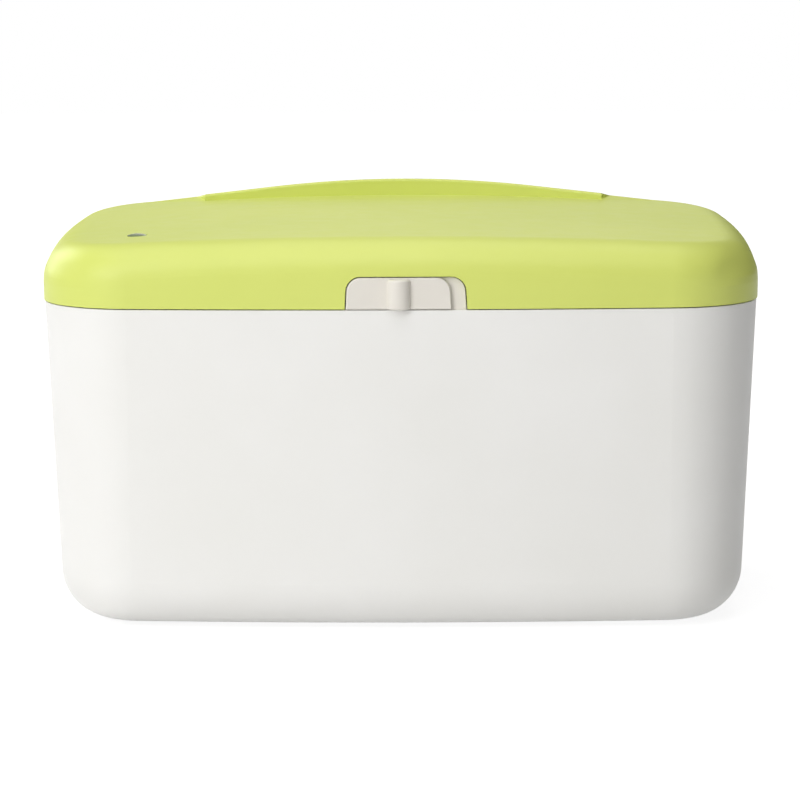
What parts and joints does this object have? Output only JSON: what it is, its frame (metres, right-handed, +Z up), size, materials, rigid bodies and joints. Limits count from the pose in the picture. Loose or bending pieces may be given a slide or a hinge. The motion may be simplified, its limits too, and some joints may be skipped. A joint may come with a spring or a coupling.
{
  "type": "baby wipe warmer",
  "caption": "Tabletop warmer for a pack of baby wipes: a drafted tub with a heated, hinged lid and a sliding latch.",
  "frame": {"origin": "on the table under the middle of the housing", "axes": "+Z up, -Y the front with the latch, +X to the right seen from the front"},
  "size_m": [0.2222, 0.1459, 0.1303],
  "materials": {
    "lid_plastic": "satin moulded",
    "body_plastic": "satin moulded",
    "tub_plastic": "satin moulded",
    "latch_plastic": "satin moulded",
    "lens_plastic": "polished, translucent",
    "led_plastic": "polished",
    "feet_rubber": "matte",
    "seal_rubber": "matte",
    "jack_plastic": "satin",
    "contact_brass": "polished",
    "steel": "plated",
    "aluminium": "rolled",
    "heater_film": "satin film",
    "foam": "open-cell",
    "board": "satin",
    "wire_jacket": "satin"
  },
  "bodies": {
    "body": {"outer_body": "body_plastic", "inner_tub": "tub_plastic", "base_plate": "body_plastic", "base_screws": "steel", "rubber_feet": "feet_rubber", "dc_jack": "jack_plastic", "jack_pin": "contact_brass", "jack_board": "board", "board_screws": "steel", "body_harness": "wire_jacket", "hinge_pins": "steel", "hinge_spring": "steel", "latch_base": "latch_plastic", "latch_screws": "steel", "latch_spring": "steel"},
    "lid": {"lid_shell": "lid_plastic", "lid_liner": "tub_plastic", "lid_screws": "steel", "lid_seal": "seal_rubber", "heater_plate": "aluminium", "heater_film": "heater_film", "insulation_pad": "foam", "thermostat": "jack_plastic", "thermal_fuse": "steel", "lid_pcb": "board", "indicator_led": "led_plastic", "indicator_lens": "lens_plastic", "lid_harness": "wire_jacket", "latch_keeper": "steel"},
    "slider": {"latch_slider": "latch_plastic", "latch_bolt": "tub_plastic"}
  },
  "joints": [
    {"name": "lid_hinge", "type": "hinge", "parent": "body", "child": "lid", "pos_m": [0, 0.0693, 0.1012], "axis": [-1, 0, 0], "range_deg": [0, 95], "deforming": ["hinge_spring"]},
    {"name": "latch_slide", "type": "slide", "parent": "body", "child": "slider", "axis": [1, 0, 0], "range_m": [0, 0.0044], "stiffness_N_per_m": 250, "springref_m": -0.001, "deforming": ["latch_spring"]}
  ]
}
